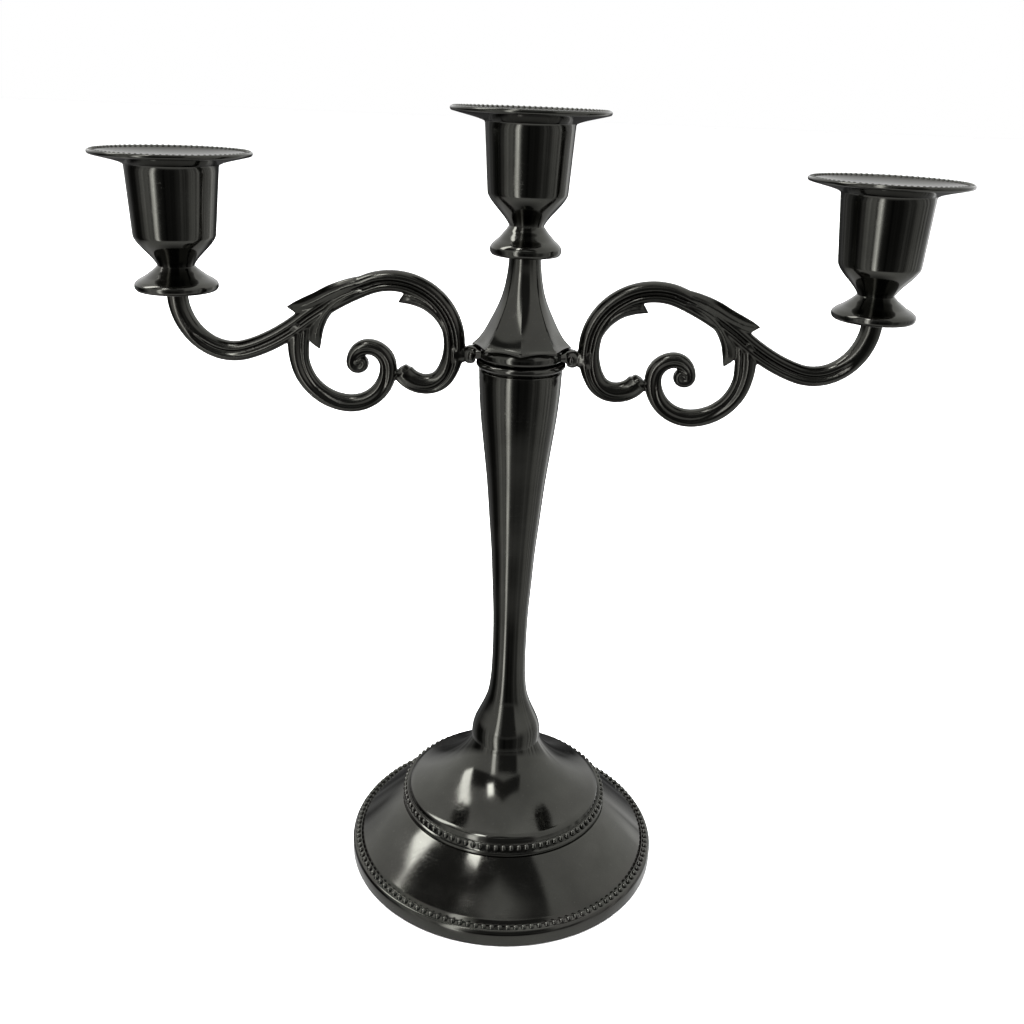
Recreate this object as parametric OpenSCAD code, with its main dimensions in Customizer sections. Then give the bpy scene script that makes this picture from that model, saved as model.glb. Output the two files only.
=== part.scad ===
// Three-light tabletop candelabra, millimetres, +Z up.
// Origin: centre of the base, on the plane that it stands on. The arms run along X.

/* [Overall] */
// Height from the table to the rim of the centre drip pan
total_h = 270; // [269:0.5:276]
// How much lower the two side drip pans sit
side_drop = 17.5; // [14:0.5:18]
// Distance from the stem's axis to each side cup's axis
arm_reach = 115; // [114:0.5:116]

/* [Base] */
// Radius of the lower tier's skirt
foot_r = 55.9; // [54:0.1:58]
// Height of the lower tier's plain skirt
skirt_h = 4.2; // [3.5:0.1:4.6]
// Radius of the upper tier's rim
dome_r = 37.6; // [36:0.2:39]
// Wall of the two cast tiers
base_wall = 2.2; // [1.8:0.1:2.6]
// Thickness of the rubber pad under the base
pad_t = 1.6; // [1.2:0.1:2]

/* [Stem] */
// Height at which the stem's foot sits on the base
foot_z = 46; // [45:0.5:47]
// Radius of the stem's foot
stem_foot_r = 12.2; // [11.8:0.1:12.6]
// Radius of the stem just under its top bead
stem_top_r = 13.9; // [13:0.1:14]
// Radius of the stem at its waist
stem_waist_r = 6; // [5.6:0.1:6.2]

/* [Arms] */
// Radius of the main scroll's bar where it is thickest
bar_r = 3.6; // [3.5:0.05:3.65]
// Radius of the lower scroll's bar where it is thickest
curl_r = 3.2; // [3.1:0.05:3.25]
// Radius of the ball that ends the lower scroll
ball_r = 3.8; // [3.4:0.1:4]

/* [Cups] */
// Radius of the drip pans
pan_r = 25.75; // [24:0.25:27]
// Radius of the socket for a 22 mm dinner candle
socket_r = 11.3; // [11:0.1:11.4]
// Depth of the candle socket below the pan's collar
socket_depth = 20; // [17:0.5:20]

/* [Fixings] */
// Radius of the base bolt and the crown stud, M8
m8_r = 4; // [3.9:0.05:4.1]
// Radius of the cup screws, M4
m4_r = 2; // [1.9:0.05:2.1]
// Radial clearance of each threaded or turning fit
fit = 0.05; // [0.03:0.01:0.08]

/* [Hidden] */
$fn = 72;
STEPS = 10;

black_nickel = [0.17, 0.17, 0.16];
zinc_plate = [0.72, 0.72, 0.70];
rubber_black = [0.08, 0.08, 0.08];

// Base: the pad stands on the table and the skirt hangs just clear of it
skirt_gap = 0.3;
pad_r = foot_r - base_wall - 0.4;
pad_hole_r = 18;
bead_ledge = [foot_r - 0.8, skirt_h + 1.4];
groove_foot = [foot_r - 3.2, 7];
deck_top = 20.8;
deck_z = deck_top - base_wall;
groove_dome = [dome_r - 3.1, 27];

// Bolt stack under the deck, from the deck down
washer_t = 1.6;
washer_r = 14;
lock_t = 2.2;
lock_r = 6.6;
bolt_head_h = 5;
bolt_head_af = 13;
bolt_top_z = 70;

// Crown: hub between the stem's top bead and the riser
hub_z = 188.4;
hub_h = 4.4;
hub_r = 15.1;
bead_z = 187;
bead_r = 1.4;
bead_ring_r = 13.1;
riser_z = hub_z + hub_h;
riser_rim_r = 16.6;
riser_top_r = 5.1;
stud_low_z = 168;
stud_high_z = 208;

// Joint between the hub's forked lugs and each arm's tongue
lug_mid_z = 189.3;
lug_h = 5.8;
lug_start = 14.7;
lug_end = 18.8;
lug_depth = 6.4;
tongue_t = 2.6;
pin_x = 16.6;
pin_r = 1.2;
pin_head_r = 1.7;

// Cup sizes: [mouth radius, lower radius, bowl height, waist radius, waist height, bell radius, height]
centre_size = [14.45, 12.95, 18.8, 5.55, 8.5, 11.6, 45.6];
side_size = [14.8, 13.15, 17.2, 5.85, 7.2, 13.5, 44.6];
centre_seat = total_h - centre_size[6];
side_seat = total_h - side_drop - side_size[6];

pan_rise = 4.4;
rim_t = 1.7;
collar_r = 12.95;
collar_h = 2;
screw_reach = 5;
screw_head_r = 3.8;
screw_head_h = 2.4;
screw_recess = 2.8;
// The bell's rim hangs a little below its seat, outside the land that it stands on
seat_land_r = 6.2;
bell_hang = 1;

// Arm centrelines as tangent arcs, [bend radius, turn in degrees, bar radius]. A positive
// turn is to the left. Each arc laps back into the one before it, whose bar radius differs.
// The main scroll runs from the cup down, over the top and round to the hub side.
main_arcs = [
  [18, -105, bar_r - 0.2], [51, -24, bar_r - 0.3], [95, 15, bar_r - 0.2], [21.5, 57, bar_r - 0.1],
  [20.5, 87, bar_r], [7.5, 45, bar_r - 0.1], [9, 70, bar_r - 0.2]
];
main_start_z = 206;
// The lower scroll leaves the main one and curls in to the ball.
curl_arcs = [
  [33, -19, curl_r - 0.1], [17.5, -79, curl_r], [13.2, -94, curl_r - 0.1], [6.2, -129, curl_r - 0.2]
];
arc_lap = 0.4;
curl_start = [74, 197];
curl_heading = -77;
ball_at = [55.2, 185.4];
leaf_depth = 4.6;

// Points of a cubic curve, without its first point
function curve(a, b, c, d) = [for (i = [1:STEPS]) let (t = i / STEPS, s = 1 - t)
  s * s * s * a + 3 * s * s * t * b + 3 * s * t * t * c + t * t * t * d];

// ---- Base ----

// Top surface of the lower tier, from the skirt in to the deck
foot_outline = concat(
  [[foot_r, skirt_gap], [foot_r, skirt_h], bead_ledge, groove_foot],
  curve(groove_foot, [49, 10.2], [43.6, 15.9], [dome_r, deck_top]));

// Top surface of the upper tier, from its rim in to the stem's seat
dome_outline = concat(
  [[dome_r, deck_top], [dome_r, 24.6], [dome_r - 1, 26], groove_dome],
  curve(groove_dome, [22, 32.5], [13.5, 39.5], [stem_foot_r, foot_z]));

module base_pad() {
  color(rubber_black)
    difference() {
      cylinder(h = pad_t, r = pad_r);
      translate([0, 0, -1]) cylinder(h = pad_t + 2, r = pad_hole_r);
    }
}

// Hollow casting: its closed top deck carries the upper tier and takes the bolt
module base_foot() {
  inner = concat(
    [[0, pad_t], [pad_r, pad_t]],
    [[pad_r, skirt_h], [groove_foot[0] - 2, groove_foot[1] - 1]],
    curve([groove_foot[0] - 2, groove_foot[1] - 1], [47, 8.4], [42, 13.8], [35, deck_z]),
    [[0, deck_z]]);
  color(black_nickel)
    difference() {
      rotate_extrude() polygon(concat([[0, skirt_gap]], foot_outline, [[0, deck_top]]));
      rotate_extrude() polygon(inner);
      cylinder(h = pad_t + 1, r = pad_r);
      cylinder(h = deck_top + 1, r = m8_r + 0.4);
    }
}

// Hollow dome that stands on the deck and carries the stem on its flat top
module base_dome() {
  inner = concat(
    [[0, deck_top - 1], [dome_r - 2.6, deck_top - 1], [dome_r - 2.6, 23.4]],
    curve([dome_r - 2.6, 23.4], [21, 29], [11, 35], [9, foot_z - 3]),
    [[0, foot_z - 3]]);
  color(black_nickel)
    difference() {
      rotate_extrude() polygon(concat([[0, deck_top]], dome_outline, [[0, foot_z]]));
      rotate_extrude() polygon(inner);
      cylinder(h = foot_z + 1, r = m8_r + 0.4);
    }
}

module base_washer() {
  color(zinc_plate)
    translate([0, 0, deck_z - washer_t])
      difference() {
        cylinder(h = washer_t, r = washer_r);
        translate([0, 0, -1]) cylinder(h = washer_t + 2, r = m8_r + 0.3);
      }
}

// Split spring washer, drawn closed under load, with its slit
module base_lock_washer() {
  slit_w = 0.8;
  color(zinc_plate)
    translate([0, 0, deck_z - washer_t - lock_t])
      difference() {
        cylinder(h = lock_t, r = lock_r);
        translate([0, 0, -1]) cylinder(h = lock_t + 2, r = m8_r + 0.3);
        translate([0, -slit_w / 2, -1]) cube([lock_r + 1, slit_w, lock_t + 2]);
      }
}

module base_bolt() {
  head_top = deck_z - washer_t - lock_t;
  color(zinc_plate) {
    translate([0, 0, head_top - bolt_head_h])
      cylinder(h = bolt_head_h, r = bolt_head_af / sqrt(3), $fn = 6);
    translate([0, 0, head_top - 0.5])
      cylinder(h = bolt_top_z - head_top + 0.5, r = m8_r - fit);
  }
}

// ---- Stem ----

// Outside of the stem from its foot up to the groove under its top bead
stem_outline = concat(
  [[stem_foot_r, foot_z]],
  curve([stem_foot_r, foot_z], [12, 52.5], [9.9, 54.2], [8.5, 59]),
  curve([8.5, 59], [6.5, 65], [stem_waist_r, 72], [stem_waist_r, 84]),
  curve([stem_waist_r, 84], [stem_waist_r, 105], [8.2, 129], [9.8, 143]),
  curve([9.8, 143], [11.5, 157], [stem_top_r - 0.3, 172], [stem_top_r, 184]),
  [[stem_top_r, 184.8], [bead_ring_r, 185.4], [bead_ring_r, hub_z]]);

module stem() {
  color(black_nickel)
    difference() {
      union() {
        rotate_extrude() polygon(concat([[0, foot_z]], stem_outline, [[0, hub_z]]));
        translate([0, 0, bead_z])
          rotate_extrude() translate([bead_ring_r, 0]) circle(r = bead_r);
      }
      translate([0, 0, foot_z - 1]) cylinder(h = bolt_top_z - foot_z + 2, r = m8_r);
      translate([0, 0, stud_low_z - 0.5]) cylinder(h = hub_z - stud_low_z + 2, r = m8_r);
    }
}

module crown_stud() {
  color(zinc_plate)
    translate([0, 0, stud_low_z]) cylinder(h = stud_high_z - stud_low_z, r = m8_r - fit);
}

// ---- Arms ----

// Round bar along a chain of tangent arcs, starting at the origin and heading along +X
module arc_chain(arcs, i = 0) {
  if (i < len(arcs)) {
    bend = arcs[i][0];
    turn = arcs[i][1];
    side = sign(turn);
    lap = arc_lap / bend * 180 / PI;
    translate([0, side * bend, 0])
      rotate([0, 0, side > 0 ? -90 - lap : 90 + turn])
        rotate_extrude(angle = abs(turn) + lap) translate([bend, 0]) circle(r = arcs[i][2]);
    translate([bend * sin(abs(turn)), side * bend * (1 - cos(turn)), 0])
      rotate([0, 0, turn])
        arc_chain(arcs, i + 1);
  }
}

// Flat leaf barb from its outline in the arm's plane
module leaf(outline) {
  translate([0, 0, -leaf_depth / 2]) linear_extrude(height = leaf_depth) polygon(outline);
}

// One arm drawn flat, X outwards and Y upwards, before it is stood up
module arm_flat() {
  translate([arm_reach, main_start_z, 0]) rotate([0, 0, -90]) arc_chain(main_arcs);
  translate([curl_start[0], curl_start[1], 0]) rotate([0, 0, curl_heading]) arc_chain(curl_arcs);
  translate([ball_at[0], ball_at[1], 0]) sphere(r = ball_r);
  // Leaf tips: outer barb, inner barb and the leaf along the hub side
  leaf([[58, 208], [64.4, 210.2], [71.2, 206.7], [78.5, 202.8], [75.6, 200.2], [66, 202]]);
  leaf([[63.8, 201], [66, 196.5], [67, 192], [67.6, 188.8], [70.5, 191], [74, 195], [68, 200]]);
  leaf([[29, 200.4], [34, 204.5], [41.5, 205.9], [43.3, 208.8], [44, 211], [33, 209], [28, 203]]);
}

// Arm standing in the XZ plane on the +X side, with its seat collar and its tongue
module arm() {
  collar_low = main_start_z - 1;
  root_start = lug_end + 0.1;
  root_h = lug_h - 0.4;
  difference() {
    union() {
      rotate([90, 0, 0]) arm_flat();
      translate([arm_reach, 0, collar_low]) cylinder(h = side_seat - collar_low, r = 4.2);
      translate([root_start, -2.7, lug_mid_z - root_h / 2]) cube([3, 5.4, root_h]);
      translate([lug_start + 0.4, -tongue_t / 2, lug_mid_z - 2])
        cube([root_start - lug_start, tongue_t, 4]);
    }
    translate([arm_reach, 0, side_seat - screw_reach - 0.5])
      cylinder(h = screw_reach + 2, r = m4_r);
    translate([pin_x, 5, lug_mid_z]) rotate([90, 0, 0]) cylinder(h = 10, r = pin_r + fit);
  }
}

module right_arm() {
  color(black_nickel) arm();
}

module left_arm() {
  color(black_nickel) mirror([1, 0, 0]) arm();
}

// Forked lug on the +X side of the hub
module hub_lug() {
  difference() {
    translate([lug_start, -lug_depth / 2, lug_mid_z - lug_h / 2])
      cube([lug_end - lug_start, lug_depth, lug_h]);
    translate([lug_start + 0.3, -tongue_t / 2 - fit, lug_mid_z - lug_h])
      cube([lug_end, tongue_t + 2 * fit, 2 * lug_h]);
    translate([pin_x, 5, lug_mid_z]) rotate([90, 0, 0]) cylinder(h = 10, r = pin_r + fit);
  }
}

module arm_hub() {
  edge = 1.2;
  color(black_nickel)
    union() {
      difference() {
        translate([0, 0, hub_z])
          rotate_extrude()
            polygon([[0, 0], [hub_r - edge, 0], [hub_r, edge], [hub_r, hub_h - edge],
                     [hub_r - edge, hub_h], [0, hub_h]]);
        translate([0, 0, hub_z - 1]) cylinder(h = hub_h + 2, r = m8_r);
      }
      hub_lug();
      mirror([1, 0, 0]) hub_lug();
    }
}

// Cross pins that lock the two tongues in the hub's lugs, with domed heads
module arm_pin() {
  head_y = lug_depth / 2 + 0.05;
  translate([pin_x, head_y, lug_mid_z]) rotate([90, 0, 0]) cylinder(h = 2 * head_y, r = pin_r);
  for (side = [-1, 1])
    translate([pin_x, side * head_y, lug_mid_z])
      intersection() {
        sphere(r = pin_head_r);
        translate([0, side * pin_head_r, 0]) cube(2 * pin_head_r, center = true);
      }
}

module arm_pins() {
  color(black_nickel) {
    arm_pin();
    mirror([1, 0, 0]) arm_pin();
  }
}

// ---- Riser ----

// Trumpet that clamps the hub: round above, with eight flats that meet in points at its rim
module riser() {
  outline = concat(
    [[0, riser_z], [riser_rim_r, riser_z], [riser_rim_r, riser_z + 0.6]],
    curve([riser_rim_r, riser_z + 0.6], [10.8, 197.6], [6.2, 206], [riser_top_r, 221]),
    [[riser_top_r + 0.3, 222.5], [riser_top_r + 0.3, centre_seat], [0, centre_seat]]);
  flat_h = 12;
  color(black_nickel)
    difference() {
      rotate_extrude() polygon(outline);
      for (i = [0:7])
        rotate([0, 0, 45 * i + 22.5])
          translate([riser_rim_r * cos(22.5), -riser_rim_r, riser_z - 1])
            cube([riser_rim_r, 2 * riser_rim_r, flat_h]);
      translate([0, 0, riser_z - 1]) cylinder(h = stud_high_z - riser_z + 2, r = m8_r);
      translate([0, 0, centre_seat - screw_reach - 0.5]) cylinder(h = screw_reach + 2, r = m4_r);
    }
}

// ---- Candle cups, each drawn on the Z axis above its seat ----

// Flared bell between the seat and the cup's waist
module bell(size) {
  waist_r = size[3];
  waist_z = size[4];
  rim_r = size[5];
  outline = concat(
    [[0, 0], [seat_land_r, 0], [rim_r - 1.6, -bell_hang], [rim_r - 0.5, -bell_hang], [rim_r, 0.9],
     [rim_r - 0.4, 1.8]],
    curve([rim_r - 0.4, 1.8], [rim_r - 2.2, 4.4], [waist_r + 1.6, waist_z - 1.6], [waist_r, waist_z]),
    [[0, waist_z]]);
  color(black_nickel)
    difference() {
      rotate_extrude() polygon(outline);
      translate([0, 0, -1]) cylinder(h = waist_z + 2, r = m4_r + 0.2);
    }
}

// Cup body: bowl, tapered wall and the candle socket
module cup(size) {
  mouth_r = size[0];
  low_r = size[1];
  bowl_z = size[2];
  waist_r = size[3];
  waist_z = size[4];
  top = size[6] - pan_rise;
  floor_z = top - collar_h - socket_depth;
  outline = concat(
    [[0, waist_z], [waist_r, waist_z]],
    curve([waist_r, waist_z], [waist_r + 1.5, waist_z + 3], [low_r - 1.9, bowl_z - 4.2],
          [low_r - 0.3, bowl_z - 1.2]),
    [[low_r, bowl_z], [mouth_r, top], [0, top]]);
  color(black_nickel)
    difference() {
      rotate_extrude() polygon(outline);
      translate([0, 0, floor_z]) cylinder(h = socket_depth + 10, r = socket_r);
      translate([0, 0, floor_z - screw_recess]) cylinder(h = socket_depth, r = screw_head_r + 0.4);
      translate([0, 0, top - collar_h]) cylinder(h = collar_h + 1, r = collar_r + fit);
      translate([0, 0, waist_z - 1]) cylinder(h = size[6], r = m4_r + 0.2);
    }
}

// Dished drip pan with a rolled rim and a collar that presses into the cup's mouth
module drip_pan(size) {
  top = size[6];
  seat = top - pan_rise;
  inner_r = collar_r - 1;
  color(black_nickel)
    translate([0, 0, seat])
      rotate_extrude()
        polygon([[inner_r, -collar_h], [collar_r, -collar_h], [collar_r, 0], [size[0] - 0.4, 0],
                 [pan_r - 0.9, pan_rise - rim_t], [pan_r, pan_rise - 0.9], [pan_r, pan_rise - 0.3],
                 [pan_r - 0.4, pan_rise], [pan_r - 1.8, pan_rise], [pan_r - 2.4, pan_rise - 0.5],
                 [inner_r + 1, 1.2], [inner_r, 0.8]]);
}

// Screw that holds the cup and the bell down on the seat, its head sunk below the socket's floor
module cup_screw(size) {
  floor_z = size[6] - pan_rise - collar_h - socket_depth - screw_recess;
  color(zinc_plate) {
    translate([0, 0, -screw_reach]) cylinder(h = floor_z + screw_reach, r = m4_r - fit);
    translate([0, 0, floor_z])
      difference() {
        cylinder(h = screw_head_h, r = screw_head_r);
        for (turn = [0, 90])
          rotate([0, 0, turn])
            translate([-2.2, -0.5, screw_head_h - 1.2]) cube([4.4, 1, 2]);
      }
  }
}

module at_centre() {
  translate([0, 0, centre_seat]) children();
}

module at_side(x) {
  translate([x, 0, side_seat]) children();
}

module left_bell() at_side(-arm_reach) bell(side_size);
module left_cup() at_side(-arm_reach) cup(side_size);
module left_drip_pan() at_side(-arm_reach) drip_pan(side_size);
module left_cup_screw() at_side(-arm_reach) cup_screw(side_size);
module centre_bell() at_centre() bell(centre_size);
module centre_cup() at_centre() cup(centre_size);
module centre_drip_pan() at_centre() drip_pan(centre_size);
module centre_cup_screw() at_centre() cup_screw(centre_size);
module right_bell() at_side(arm_reach) bell(side_size);
module right_cup() at_side(arm_reach) cup(side_size);
module right_drip_pan() at_side(arm_reach) drip_pan(side_size);
module right_cup_screw() at_side(arm_reach) cup_screw(side_size);

base_pad();
base_foot();
base_dome();
base_washer();
base_lock_washer();
base_bolt();
stem();
crown_stud();
arm_hub();
left_arm();
right_arm();
arm_pins();
riser();
left_bell();
left_cup();
left_drip_pan();
left_cup_screw();
centre_bell();
centre_cup();
centre_drip_pan();
centre_cup_screw();
right_bell();
right_cup();
right_drip_pan();
right_cup_screw();
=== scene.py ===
import math

import bmesh
import bpy
from mathutils import Matrix, Vector


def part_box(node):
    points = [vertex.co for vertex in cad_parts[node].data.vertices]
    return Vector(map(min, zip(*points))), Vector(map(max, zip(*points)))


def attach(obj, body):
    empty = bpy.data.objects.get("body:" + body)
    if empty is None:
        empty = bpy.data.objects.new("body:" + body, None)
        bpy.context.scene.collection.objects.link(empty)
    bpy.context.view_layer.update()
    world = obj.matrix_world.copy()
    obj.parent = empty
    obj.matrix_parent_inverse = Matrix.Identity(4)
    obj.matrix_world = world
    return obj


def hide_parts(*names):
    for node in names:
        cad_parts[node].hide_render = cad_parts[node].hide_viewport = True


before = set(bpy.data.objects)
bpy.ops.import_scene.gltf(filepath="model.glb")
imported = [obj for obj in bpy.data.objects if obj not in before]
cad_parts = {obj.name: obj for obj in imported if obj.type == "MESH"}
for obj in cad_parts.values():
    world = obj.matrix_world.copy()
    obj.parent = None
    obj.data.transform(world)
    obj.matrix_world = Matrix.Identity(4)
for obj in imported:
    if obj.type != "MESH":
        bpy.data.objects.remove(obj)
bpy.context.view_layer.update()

MM = 0.001
TURN = 2 * math.pi


def node_box(name):
    """A CAD node's lowest and highest corners, in millimetres."""
    low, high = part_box(name)
    return [c / MM for c in low], [c / MM for c in high]


def node_centre(name):
    low, high = node_box(name)
    return [(a + b) / 2 for a, b in zip(low, high)]


# Places and sizes taken from the CAD nodes
FOOT_Z = node_box("stem")[0][2]
HUB_LOW_Z = node_box("stem")[1][2]
HUB_HIGH_Z = node_box("riser")[0][2]
CENTRE_SEAT_Z = node_box("riser")[1][2]
# A bell's rim hangs below its seat by this much
BELL_HANG = 1.0
SIDE_SEAT_Z = node_box("right_bell")[0][2] + BELL_HANG
ARM_REACH = node_centre("right_bell")[0]
FOOT_R = node_box("base_foot")[1][1]
PAN_R = node_box("centre_drip_pan")[1][1]
FOOT_PAD_R = node_box("base_pad")[1][1]


# ---------------------------------------------------------------- curves and outlines

def bezier(a, b, c, d, steps=12, first=False):
    """Points of a cubic curve, as tuples, without its first point unless asked."""
    points = []
    for i in range(0 if first else 1, steps + 1):
        t = i / steps
        s = 1 - t
        points.append(tuple(
            s ** 3 * p + 3 * s * s * t * q + 3 * s * t * t * r + t ** 3 * e
            for p, q, r, e in zip(a, b, c, d)))
    return points


def smooth_line(stations, steps=8):
    """Catmull-Rom curve through every station; each station is a tuple of numbers."""
    points = []
    last = len(stations) - 1
    for i in range(last):
        p0 = stations[max(i - 1, 0)]
        p1, p2 = stations[i], stations[i + 1]
        p3 = stations[min(i + 2, last)]
        for k in range(steps):
            t = k / steps
            points.append(tuple(
                0.5 * (2 * b + (c - a) * t + (2 * a - 5 * b + 4 * c - d) * t * t
                       + (3 * b - a - 3 * c + d) * t ** 3)
                for a, b, c, d in zip(p0, p1, p2, p3)))
    points.append(tuple(stations[last]))
    return points


def rounded(outline, closed=True, steps=4):
    """Rounds the corners of an outline; a point may carry its corner's cut as a third number."""
    points = []
    count = len(outline)
    for i, point in enumerate(outline):
        here = Vector(point[:2])
        cut = point[2] if len(point) > 2 else 0
        inner = closed or 0 < i < count - 1
        if not cut or not inner:
            points.append(tuple(here))
            continue
        before = Vector(outline[i - 1][:2])
        after = Vector(outline[(i + 1) % count][:2])
        cut = min(cut, 0.48 * (before - here).length, 0.48 * (after - here).length)
        start = here + (before - here).normalized() * cut
        end = here + (after - here).normalized() * cut
        for k in range(steps + 1):
            t = k / steps
            points.append(tuple((1 - t) ** 2 * start + 2 * t * (1 - t) * here + t * t * end))
    return points


# ---------------------------------------------------------------- mesh building

def new_piece(name, bm, body, material, replaces=(), sharp_angle=38):
    """Turns a bmesh in millimetres into a finished piece that rides on a body."""
    bmesh.ops.scale(bm, vec=(MM, MM, MM), verts=bm.verts)
    bmesh.ops.recalc_face_normals(bm, faces=bm.faces)
    mesh = bpy.data.meshes.new(name)
    bm.to_mesh(mesh)
    bm.free()
    for face in mesh.polygons:
        face.use_smooth = True
    mesh.set_sharp_from_angle(angle=math.radians(sharp_angle))
    piece = bpy.data.objects.new(name, mesh)
    bpy.context.scene.collection.objects.link(piece)
    mesh.materials.append(material)
    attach(piece, body)
    if replaces:
        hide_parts(*replaces)
    return piece


def ring_of(bm, radius_at, z_at, centre, steps):
    """A ring of points whose radius and height follow the angle, which starts at the front."""
    x0, y0 = centre
    return [bm.verts.new((x0 + radius_at(a) * math.sin(a), y0 - radius_at(a) * math.cos(a), z_at(a)))
            for a in (TURN * i / steps for i in range(steps))]


def join_rings(bm, lower, upper):
    """Faces between two rings, either of which may be a single point."""
    count = max(len(lower), len(upper))
    for i in range(count):
        j = (i + 1) % count
        if len(lower) == 1:
            bm.faces.new((lower[0], upper[j], upper[i]))
        elif len(upper) == 1:
            bm.faces.new((lower[i], lower[j], upper[0]))
        else:
            bm.faces.new((lower[i], lower[j], upper[j], upper[i]))


def lathe(bm, outline, centre=(0, 0), z0=0, *, steps, closed=True):
    """Turns an outline of (radius, height) about a vertical axis; radius 0 makes a pole."""
    rings = []
    for radius, height in outline:
        if radius < 1e-6:
            rings.append([bm.verts.new((centre[0], centre[1], z0 + height))])
        else:
            rings.append(ring_of(bm, lambda a, r=radius: r, lambda a, h=height: z0 + h, centre, steps))
    pairs = list(zip(rings, rings[1:]))
    if closed:
        pairs.append((rings[-1], rings[0]))
    for lower, upper in pairs:
        if len(lower) > 1 or len(upper) > 1:
            join_rings(bm, lower, upper)


def bead_row(bm, ring_r, z, bead_r, count, centre=(0, 0), tall=1.0, around=12, bands=7):
    """A ring of round beads, which the surface that carries them half hides."""
    for i in range(count):
        a = TURN * (i + 0.5) / count
        x, y = centre[0] + ring_r * math.sin(a), centre[1] - ring_r * math.cos(a)
        rings = [[bm.verts.new((x, y, z - bead_r * tall))]]
        for k in range(1, bands):
            lift = -math.cos(math.pi * k / bands)
            wide = bead_r * math.sin(math.pi * k / bands)
            rings.append([bm.verts.new((
                x + wide * math.cos(TURN * j / around), y + wide * math.sin(TURN * j / around),
                z + bead_r * tall * lift)) for j in range(around)])
        rings.append([bm.verts.new((x, y, z + bead_r * tall))])
        for lower, upper in zip(rings, rings[1:]):
            join_rings(bm, lower, upper)


# ---------------------------------------------------------------- materials

WORN_METAL = (0.20, 0.20, 0.18, 1)
# Near-black painted shade, laid into the plating's hollows where shadow falls
PAINTED_SHADE_TONE = (0.004, 0.004, 0.0035, 1)
# Shares of those two tones, worn metal on the edges and painted shade in the hollows, and of the
# casting's pale specks, in the plating's colour
WEAR, PAINTED_SHADE_SHARE, SPECKS = 0.30, 0.85, 0.16


class Nodes:
    """Small helper that adds and links the shader nodes of a material or of the world."""

    def __init__(self, owner):
        owner.use_nodes = True
        self.owner = owner
        self.tree = owner.node_tree
        self.shader = self.tree.nodes.get("Principled BSDF")

    def add(self, kind, inputs=None, **settings):
        node = self.tree.nodes.new(kind)
        for key, value in settings.items():
            setattr(node, key, value)
        for key, value in (inputs or {}).items():
            if isinstance(value, bpy.types.NodeSocket):
                self.tree.links.new(value, node.inputs[key])
            else:
                node.inputs[key].default_value = value
        return node

    def noise(self, vector, scale, detail=4.0, roughness=0.55):
        return self.add("ShaderNodeTexNoise", {
            "Vector": vector, "Scale": scale, "Detail": detail, "Roughness": roughness}).outputs["Fac"]

    def ramp(self, fac, low, high, to_low=0.0, to_high=1.0):
        return self.add("ShaderNodeMapRange", {
            "Value": fac, "From Min": low, "From Max": high,
            "To Min": to_low, "To Max": to_high}).outputs["Result"]

    def math(self, operation, a, b=0.0):
        return self.add("ShaderNodeMath", {0: a, 1: b}, operation=operation).outputs[0]

    def mix(self, fac, a, b):
        node = self.add("ShaderNodeMix", data_type="RGBA")
        for key, value in ((0, fac), (6, a), (7, b)):
            if isinstance(value, bpy.types.NodeSocket):
                self.tree.links.new(value, node.inputs[key])
            else:
                node.inputs[key].default_value = value
        return node.outputs[2]

    def link(self, socket, name):
        self.tree.links.new(socket, self.shader.inputs[name])


def scratches(n, coords, stretch, lean, scale, width):
    """Thin broken lines: the middle crossings of a noise that is drawn out along one leaning axis."""
    turned = n.add("ShaderNodeMapping", {"Vector": coords, "Rotation": lean, "Scale": stretch})
    lines = n.noise(turned.outputs["Vector"], scale, detail=2.0)
    off = n.math("ABSOLUTE", n.math("SUBTRACT", lines, 0.5))
    line = n.ramp(off, 0.0, width, 1.0, 0.0)
    patches = n.ramp(n.noise(coords, 90.0), 0.5, 0.62)
    return n.math("MULTIPLY", line, patches)


def black_nickel(name, dark, light, rough_low, rough_high, cast_bump):
    """Dark bright plating on a casting: tone clouds, fine scratches, worn edges and painted shade
    darkening the hollows.
    """
    n = Nodes(bpy.data.materials.new(name))
    coords = n.add("ShaderNodeTexCoord").outputs["Object"]
    cloud = n.ramp(n.noise(coords, 45.0, 5.0), 0.35, 0.65)
    tone = n.mix(cloud, dark, light)
    speck = n.ramp(n.noise(coords, 1300.0, 2.0), 0.66, 0.74)
    tone = n.mix(n.math("MULTIPLY", speck, SPECKS), tone, WORN_METAL)
    edge = n.add("ShaderNodeNewGeometry").outputs["Pointiness"]
    patches = n.ramp(n.noise(coords, 400.0), 0.4, 0.6, 0.3, 1.0)
    worn = n.math("MULTIPLY", n.ramp(edge, 0.53, 0.62), patches)
    tone = n.mix(n.math("MULTIPLY", worn, WEAR), tone, WORN_METAL)
    # Painted shade: the hollows, found by low pointiness, are darkened towards near-black
    hollow = n.ramp(edge, 0.40, 0.485, 1.0, 0.0)
    tone = n.mix(n.math("MULTIPLY", hollow, PAINTED_SHADE_SHARE), tone, PAINTED_SHADE_TONE)
    n.link(tone, "Base Color")
    fine = scratches(n, coords, (1.0, 1.0, 14.0), (0.3, 0.5, 0.2), 60.0, 0.008)
    cross = scratches(n, coords, (1.0, 12.0, 1.0), (0.9, 0.2, 0.7), 75.0, 0.006)
    marks = n.math("MAXIMUM", fine, cross)
    smear = n.ramp(n.noise(coords, 110.0, 6.0, 0.65), 0.35, 0.7, rough_low, rough_high)
    rough = n.math("ADD", smear, n.math("MULTIPLY", marks, 0.10))
    n.link(rough, "Roughness")
    height = n.math("ADD", n.math("MULTIPLY", n.noise(coords, 200.0, 3.0), cast_bump),
                    n.math("MULTIPLY", marks, -0.15))
    bump = n.add("ShaderNodeBump", {"Height": height, "Strength": 0.25, "Distance": 0.0001})
    n.link(bump.outputs["Normal"], "Normal")
    n.shader.inputs["Metallic"].default_value = 1.0
    return n.owner


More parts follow.
